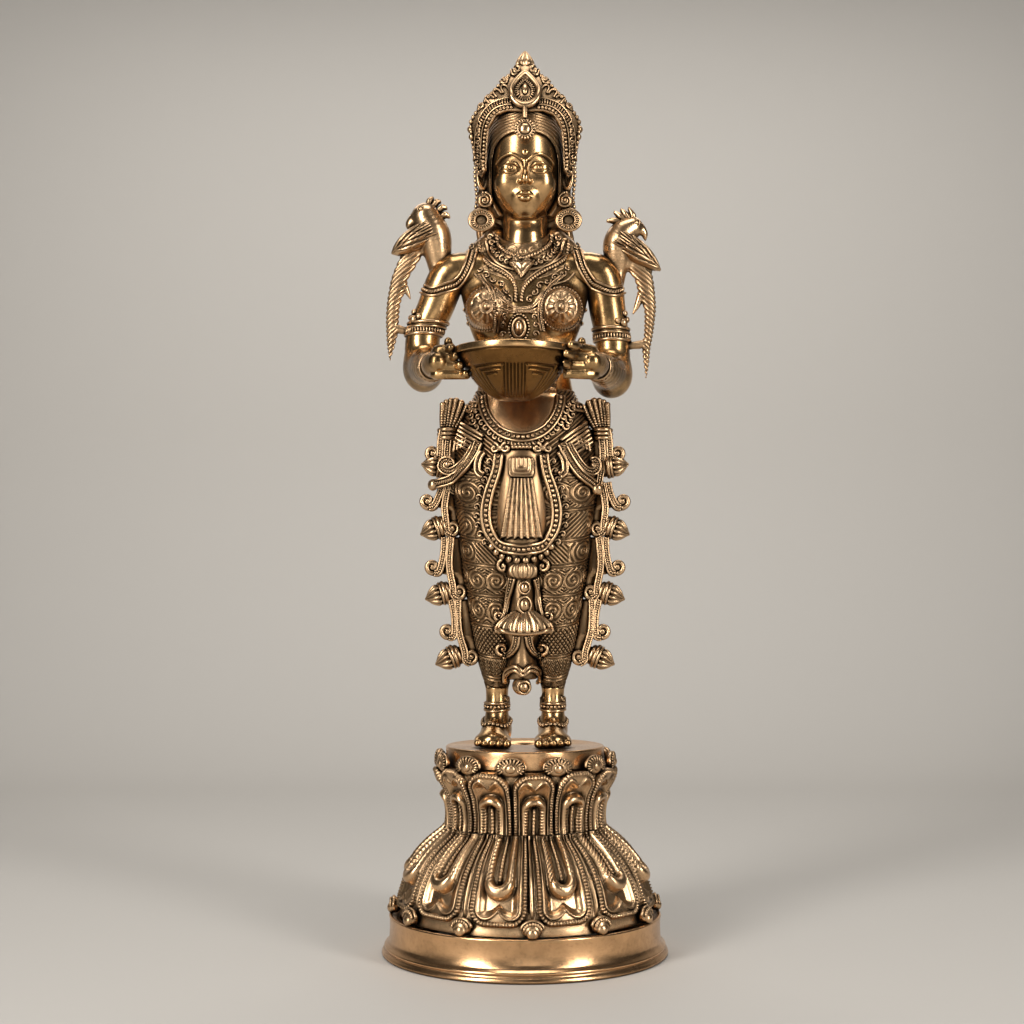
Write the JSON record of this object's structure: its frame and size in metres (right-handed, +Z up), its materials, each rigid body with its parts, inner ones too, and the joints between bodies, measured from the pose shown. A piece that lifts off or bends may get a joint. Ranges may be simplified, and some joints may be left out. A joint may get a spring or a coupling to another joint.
{
  "type": "figural oil lamp",
  "caption": "Cast brass lamp bearer with parrots on the shoulders, holding a lift-out oil bowl in both hands, on a tiered lotus pedestal.",
  "frame": {"origin": "centre of the pedestal's foot, on the surface that the lamp stands on", "axes": "+Z up; the figure faces -Y and its left hand is on +X"},
  "size_m": [0.1961, 0.194, 0.607],
  "materials": {
    "polished_brass": "hand polished cast brass with a warm golden shine",
    "antique_brass": "cast brass with dark patina in the recesses and rubbed high points",
    "engraved_brass": "engraved cast brass, darker patina",
    "bowl_brass": "smooth cast brass with chased lines",
    "steel_fastener": "plain turned steel"
  },
  "bodies": {
    "pedestal": {"plinth_ring": "polished_brass", "lower_lotus": "antique_brass", "upper_lotus": "antique_brass", "pedestal_bush": "polished_brass"},
    "figure": {"standing_deck": "polished_brass", "lock_washer": "steel_fastener", "lock_nut": "steel_fastener", "foot_studs": "steel_fastener", "foot_nuts": "steel_fastener", "lower_body": "engraved_brass", "front_sash": "antique_brass", "left_sash": "antique_brass", "right_sash": "antique_brass", "girdle": "antique_brass", "left_anklet": "antique_brass", "right_anklet": "antique_brass", "torso": "polished_brass", "necklace": "antique_brass", "head": "polished_brass", "crown": "antique_brass", "left_earring": "antique_brass", "right_earring": "antique_brass", "left_arm": "polished_brass", "right_arm": "polished_brass", "left_armlet": "antique_brass", "right_armlet": "antique_brass", "left_bangle": "antique_brass", "right_bangle": "antique_brass", "left_parrot": "antique_brass", "right_parrot": "antique_brass"},
    "bowl": {"oil_bowl": "bowl_brass"}
  },
  "joints": [
    {"name": "figure_turn", "type": "hinge", "parent": "pedestal", "child": "figure", "pos_m": [0, 0, 0.086], "axis": [0, 0, 1], "continuous": true},
    {"name": "bowl_lift", "type": "slide", "parent": "figure", "child": "bowl", "axis": [0, -0.4226, 0.9063], "range_m": [0, 0.09]}
  ]
}
